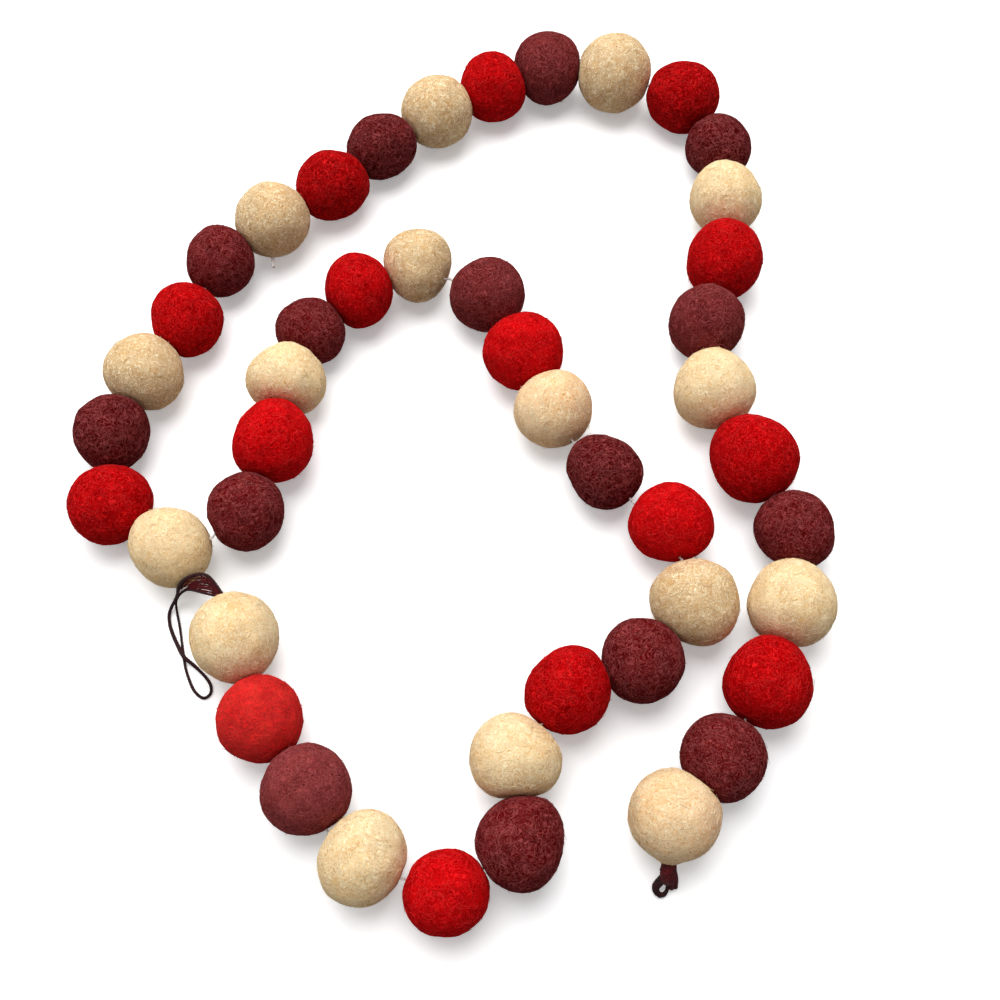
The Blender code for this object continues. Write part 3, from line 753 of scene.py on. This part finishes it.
# The solid string is a tube with a ring of points at each turn. The middles of its rings, in the
# order of the meetings, are the points that the thread runs through.
string_points = np.unique(np.round([vertex.co for vertex in nodes["string"].data.vertices], 6),
                          axis=0)
rings = []
left = list(range(len(string_points)))
while left:
    near = [index for index in left
            if np.linalg.norm(string_points[index] - string_points[left[0]]) < RING_REACH]
    rings.append(string_points[near].mean(0))
    left = [index for index in left if index not in near]
stops = [middles[1]] + [face for face, apart, way in meetings.values()] + [middles[BALL_COUNT]]
turns = [min(rings, key=lambda ring: np.linalg.norm(ring - stop)) for stop in stops]
for number, (face, apart, way) in meetings.items():
    if apart < OPEN_MEETING:
        turns[number] = face - np.array((0, 0, HIDDEN_DEPTH))
string = grow("stringing_thread", route_mesh("stringing_thread", [(turns, STRING_HALF_WIDTH)]),
              floss_tree, {"Step": 0.0010, "Strands": 3, "Turns a Metre": 280.0,
                           "Strand Share": 0.56, "Wander": 0.00006, "Sides": 4,
                           "Material": white_thread})
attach(string, "root")
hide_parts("string")


# A short end of the stringing thread, left where two lengths were joined. It stands out of the
# near side of one cream ball, twisted like the rest.
THREAD_END_HALF_WIDTH = 0.0006
end_route = smooth_route(THREAD_END, 0.0003)
thread_end = grow("thread_end_twist",
                  route_mesh("thread_end_twist", [(end_route, THREAD_END_HALF_WIDTH)]),
                  floss_tree, {"Step": 0.0002, "Strands": 3, "Turns a Metre": 260.0,
                               "Strand Share": 0.55, "Wander": 0.00008, "Sides": 6,
                               "Material": white_thread})
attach(thread_end, "root")
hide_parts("thread_end")


# The tail: the same maroon floss, wound round itself in a knot that stops the first ball. Below
# the knot, one strand is bent back into a small loop and two are cut off blunt. For each piece:
# its route, its half widths in millimetres, its strands, their share, its turns and its floss.
TAIL_PIECES = {
    "tail_knot": ([(0.0612, -0.1280, 0.0099), (0.0609, -0.1299, 0.0094), (0.0607, -0.1318, 0.0088),
                   (0.0606, -0.1332, 0.0081), (0.0605, -0.1343, 0.0072), (0.0604, -0.1352, 0.0062),
                   (0.0604, -0.1362, 0.0050), (0.0606, -0.1369, 0.0040)],
                  (1.10, 1.30, 1.70, 1.95, 2.05, 2.15, 2.00, 1.30), 14, 0.26, 60.0, crimson_floss),
    "tail_loop": ([(0.0596, -0.1354, 0.0060), (0.0591, -0.1362, 0.0048), (0.0584, -0.1370, 0.0034),
                   (0.0577, -0.1380, 0.0021), (0.0579, -0.1392, 0.0013), (0.0589, -0.1400, 0.0009),
                   (0.0600, -0.1398, 0.0008), (0.0607, -0.1389, 0.0011), (0.0608, -0.1378, 0.0022),
                   (0.0606, -0.1366, 0.0042)],
                  (1.10, 1.20, 1.25, 1.20, 1.00, 0.80, 0.62, 0.50, 0.48, 0.50), 9, 0.34, 110.0,
                  dark_floss),
    "tail_end_1": ([(0.0615, -0.1350, 0.0068), (0.0617, -0.1362, 0.0052),
                    (0.0618, -0.1372, 0.0034), (0.0619, -0.1383, 0.0014)],
                   (0.90, 0.85, 0.80, 0.80), 9, 0.34, 70.0, crimson_floss),
    "tail_end_2": ([(0.0623, -0.1346, 0.0070), (0.0627, -0.1358, 0.0055),
                    (0.0629, -0.1370, 0.0034), (0.0630, -0.1381, 0.0013)],
                   (0.60, 0.65, 0.68, 0.70), 8, 0.36, 70.0, crimson_floss),
}
for cad_name, values in TAIL_PIECES.items():
    points, half_widths, strands, share, turns_a_metre, floss = values
    route = smooth_route(points, 0.0002)
    widths = np.interp(np.linspace(0, 1, len(route)), np.linspace(0, 1, len(half_widths)),
                       half_widths) / 1000
    piece = grow(cad_name + "_floss", route_mesh(cad_name + "_floss", [(route, widths)]),
                 floss_tree, {"Step": 0.0003, "Strands": strands, "Turns a Metre": turns_a_metre,
                              "Strand Share": share, "Wander": 0.00022, "Sides": 5,
                              "Material": floss})
    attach(piece, "root")
    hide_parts(cad_name)

# The wraps of the knot: the same crimson floss, wound a little over three times round the knot
# where it leaves the first ball, and pulled tight.
WRAP_TURNS = 3.2
WRAP_POINTS = 70
WRAP_RADIUS = 0.0017
WRAP_WIDENING = 0.0003
WRAP_HALF_WIDTH = 0.00038
WRAP_START = Vector((0.0607, -0.1328, 0.0083))
WRAP_END = Vector((0.0605, -0.1346, 0.0069))
wrap_way = (WRAP_END - WRAP_START).normalized()
wrap_side = Vector((1, 0, 0))
wrap_up = wrap_way.cross(wrap_side).normalized()
wrap_route = []
for part in np.linspace(0, 1, WRAP_POINTS):
    angle = part * WRAP_TURNS * math.tau
    round_it = wrap_side * math.cos(angle) + wrap_up * math.sin(angle)
    wrap_route.append(WRAP_START.lerp(WRAP_END, part)
                      + round_it * (WRAP_RADIUS + WRAP_WIDENING * part))
wraps = grow("tail_knot_wraps", route_mesh("tail_knot_wraps", [(wrap_route, WRAP_HALF_WIDTH)]),
             floss_tree, {"Step": 0.0003, "Strands": 4, "Turns a Metre": 280.0,
                          "Strand Share": 0.52, "Wander": 0.00010, "Sides": 5,
                          "Material": crimson_floss})
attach(wraps, "root")


# The floor: a plain pale board that the garland lies on. It throws back less light than it shows,
# so the undersides of the balls stay as deep as real wool's.
FLOOR_REACH = 9
FLOOR_HEIGHT = -0.0001
floor_mesh = bpy.data.meshes.new("floor")
floor_mesh.from_pydata([(x * FLOOR_REACH, y * FLOOR_REACH, FLOOR_HEIGHT)
                        for x, y in ((-1, -1), (1, -1), (1, 1), (-1, 1))], [], [(0, 1, 2, 3)])
floor = bpy.data.objects.new("floor", floor_mesh)
scene.collection.objects.link(floor)
pale, pale_tree, pale_shader = new_material("pale_board", 0.9, 0.0, (1, 1, 1, 1), gloss=0.1)
grain = node(pale_tree, "ShaderNodeTexNoise",
             {"Vector": node(pale_tree, "ShaderNodeTexCoord").outputs["Object"], "Scale": 9.0})
shown = mixed(pale_tree, grain.outputs[0], (0.93, 0.93, 0.93, 1), (0.95, 0.95, 0.95, 1))
looked_at = node(pale_tree, "ShaderNodeLightPath").outputs["Is Camera Ray"]
colour = mixed(pale_tree, looked_at, (0.48, 0.48, 0.48, 1), shown)
glow = mixed(pale_tree, looked_at, (0, 0, 0, 1), (0.3, 0.3, 0.3, 1))
pale_tree.links.new(colour, pale_shader.inputs["Base Color"])
pale_tree.links.new(glow, pale_shader.inputs["Emission Color"])
pale_shader.inputs["Emission Strength"].default_value = 1.0
floor_mesh.materials.append(pale)


# The light: a very large soft window light from beyond the far side, a weaker one from the left,
# and a room that lights more from overhead and beyond than from the near side. Its walls look
# evenly pale from anywhere.
LIT_PLACE = Vector((0, 0, 0.01))


def soft_light(name, place, size, power):
    """A round soft light that faces the garland."""
    lamp = bpy.data.lights.new(name, "AREA")
    lamp.shape = "DISK"
    lamp.size = size
    lamp.energy = power
    made = bpy.data.objects.new(name, lamp)
    made.location = place
    made.rotation_euler = (LIT_PLACE - Vector(place)).to_track_quat("-Z", "Y").to_euler()
    scene.collection.objects.link(made)


soft_light("window", place=(-0.08, 0.42, 1.0), size=1.1, power=15.2)
soft_light("side", place=(-0.7, 0.1, 0.7), size=0.6, power=1.0)
room = bpy.data.worlds.new("room")
room.use_nodes = True
way_there = node(room.node_tree, "ShaderNodeTexCoord").outputs["Generated"]
far_and_up = node(room.node_tree, "ShaderNodeVectorMath", {0: way_there, 1: (0, 0.6, 0.8)},
                  operation="DOT_PRODUCT").outputs["Value"]
paleness = node(room.node_tree, "ShaderNodeMapRange",
                {"Value": far_and_up, "From Min": -0.6, "From Max": 0.9, "To Max": 0.46},
                interpolation_type="SMOOTHSTEP").outputs[0]
backdrop = calc(room.node_tree, "MULTIPLY",
                node(room.node_tree, "ShaderNodeLightPath").outputs["Is Camera Ray"], 0.92)
room_light = room.node_tree.nodes["Background"].inputs
room_light["Color"].default_value = (1, 1, 1, 1)
room.node_tree.links.new(calc(room.node_tree, "MAXIMUM", paleness, backdrop),
                         room_light["Strength"])
scene.world = room
